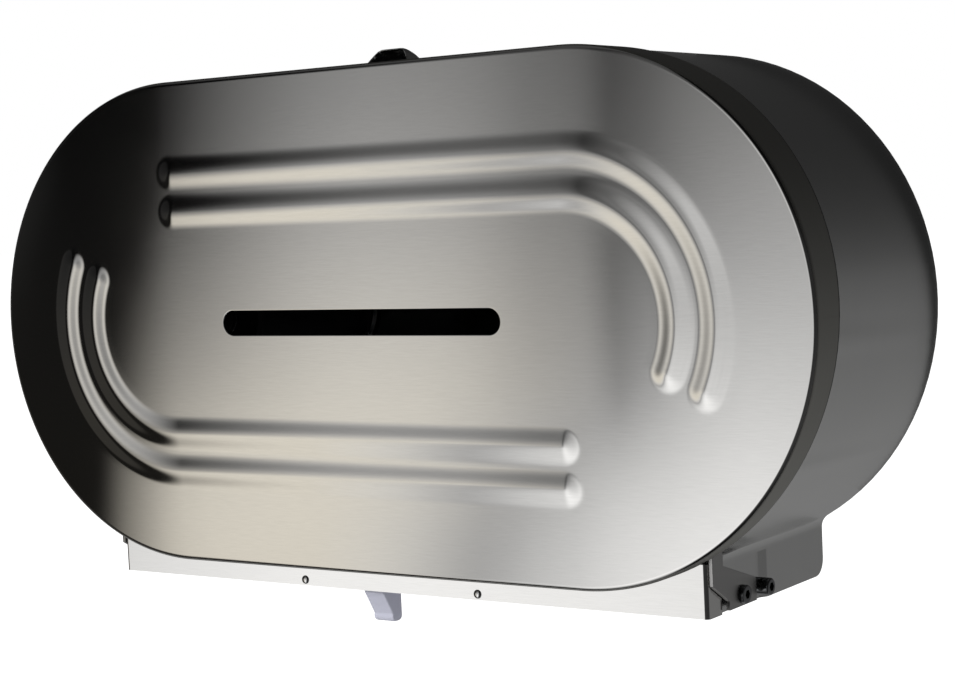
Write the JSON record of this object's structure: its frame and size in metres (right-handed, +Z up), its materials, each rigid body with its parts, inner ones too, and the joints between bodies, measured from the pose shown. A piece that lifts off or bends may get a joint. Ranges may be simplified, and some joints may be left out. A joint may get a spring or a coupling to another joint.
{
  "type": "jumbo toilet roll dispenser",
  "caption": "Wall-mounted jumbo toilet roll dispenser: round-ended steel housing, ribbed front cover hinged at the bottom, viewing slot, turning hubs, toothed paper exits and a sliding shutter.",
  "frame": {"origin": "centre of the four wall holes, on the wall plane, level with the middle of the round ends", "axes": "+X to the right, +Y into the wall, +Z up; the cover faces -Y"},
  "size_m": [0.53, 0.148, 0.3114],
  "materials": {
    "cover_steel": "brushed stainless steel, grain along the length",
    "housing_steel": "brushed stainless steel, seen darker",
    "hardware_steel": "plain bright steel",
    "grey_plastic": "moulded light lavender-grey plastic",
    "black_plastic": "moulded black plastic"
  },
  "bodies": {
    "housing": {"body_wrap": "housing_steel", "back_plate": "housing_steel", "bottom_panel": "cover_steel", "front_rail": "cover_steel", "rail_rivets": "hardware_steel", "shutter_guides": "hardware_steel", "pivot_screws": "hardware_steel", "pivot_nuts": "hardware_steel", "stop_screws": "hardware_steel", "stop_nuts": "hardware_steel", "spindle_left": "hardware_steel", "spindle_right": "hardware_steel", "spindle_rivets": "hardware_steel", "spindle_washers": "hardware_steel", "spindle_caps": "black_plastic", "lock_guide": "hardware_steel", "lock_rivets": "hardware_steel"},
    "door": {"door_cover": "cover_steel", "hinge_arm_left": "cover_steel", "hinge_arm_right": "cover_steel", "pivot_bushes": "black_plastic", "strike_plate": "hardware_steel"},
    "shutter": {"shutter": "grey_plastic"},
    "hub_left": {"hub_left": "black_plastic"},
    "hub_right": {"hub_right": "black_plastic"},
    "lock_bolt": {"lock_bolt": "hardware_steel"}
  },
  "joints": [
    {"name": "cover_hinge", "type": "hinge", "parent": "housing", "child": "door", "pos_m": [0, -0.0984, -0.1401], "axis": [1, 0, 0], "range_deg": [0, 68]},
    {"name": "shutter_slide", "type": "slide", "parent": "housing", "child": "shutter", "axis": [1, 0, 0], "range_m": [-0.036, 0.0624]},
    {"name": "hub_left_spin", "type": "hinge", "parent": "housing", "child": "hub_left", "pos_m": [-0.13, -0.0545, 0], "axis": [0, -1, 0], "continuous": true},
    {"name": "hub_right_spin", "type": "hinge", "parent": "housing", "child": "hub_right", "pos_m": [0.13, -0.0545, 0], "axis": [0, -1, 0], "continuous": true},
    {"name": "bolt_slide", "type": "slide", "parent": "housing", "child": "lock_bolt", "axis": [0, -1, 0], "range_m": [0, 0.014]}
  ]
}
